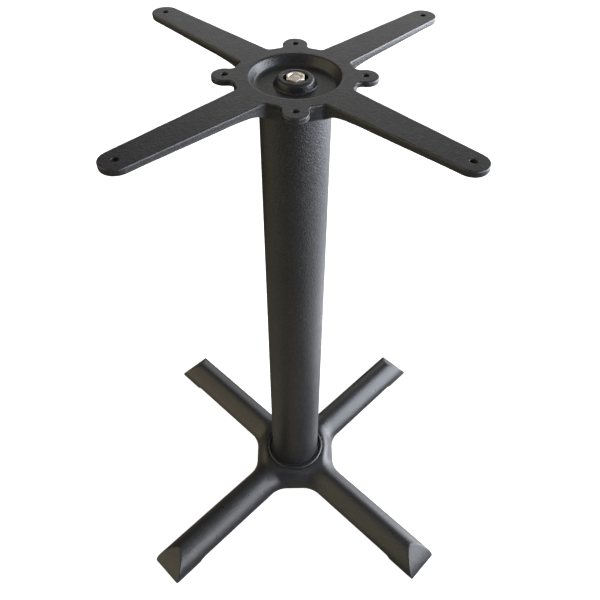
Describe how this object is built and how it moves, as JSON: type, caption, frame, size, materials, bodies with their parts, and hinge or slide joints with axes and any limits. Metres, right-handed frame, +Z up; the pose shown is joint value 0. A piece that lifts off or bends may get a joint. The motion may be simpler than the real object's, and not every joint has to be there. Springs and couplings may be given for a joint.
{
  "type": "pedestal table base",
  "caption": "Cast X-foot pedestal table base: arched legs, round column, X-shaped top plate with dished hub, tie rod and levelling glides.",
  "frame": {"origin": "on the floor under the column's axis, with the levelling glides screwed fully in", "axes": "+Z up the column; the legs and the top plate's arms lie on the diagonals of X and Y, the four short lugs on X and Y"},
  "size_m": [0.4346, 0.4346, 0.726],
  "materials": {
    "castings": "black fine-wrinkle powder coat over cast iron",
    "tube": "black wrinkle powder coat over steel tube",
    "zinc": "bright zinc plate",
    "black_steel": "black oxide",
    "glide_nylon": "moulded black nylon"
  },
  "bodies": {
    "stand": {"base_casting": "castings", "column_tube": "tube", "top_plate_casting": "castings", "tie_rod": "zinc", "top_nut": "zinc", "top_washer": "black_steel", "bottom_washer": "zinc", "bottom_spring_washer": "black_steel", "bottom_nut": "zinc"},
    "glide_back_right": {"glide_foot_back_right": "glide_nylon", "glide_stud_back_right": "zinc"},
    "glide_back_left": {"glide_foot_back_left": "glide_nylon", "glide_stud_back_left": "zinc"},
    "glide_front_left": {"glide_foot_front_left": "glide_nylon", "glide_stud_front_left": "zinc"},
    "glide_front_right": {"glide_foot_front_right": "glide_nylon", "glide_stud_front_right": "zinc"}
  },
  "joints": [
    {"name": "level_back_right", "type": "slide", "parent": "stand", "child": "glide_back_right", "axis": [0, 0, -1], "range_m": [0, 0.01]},
    {"name": "level_back_left", "type": "slide", "parent": "stand", "child": "glide_back_left", "axis": [0, 0, -1], "range_m": [0, 0.01]},
    {"name": "level_front_left", "type": "slide", "parent": "stand", "child": "glide_front_left", "axis": [0, 0, -1], "range_m": [0, 0.01]},
    {"name": "level_front_right", "type": "slide", "parent": "stand", "child": "glide_front_right", "axis": [0, 0, -1], "range_m": [0, 0.01]}
  ]
}
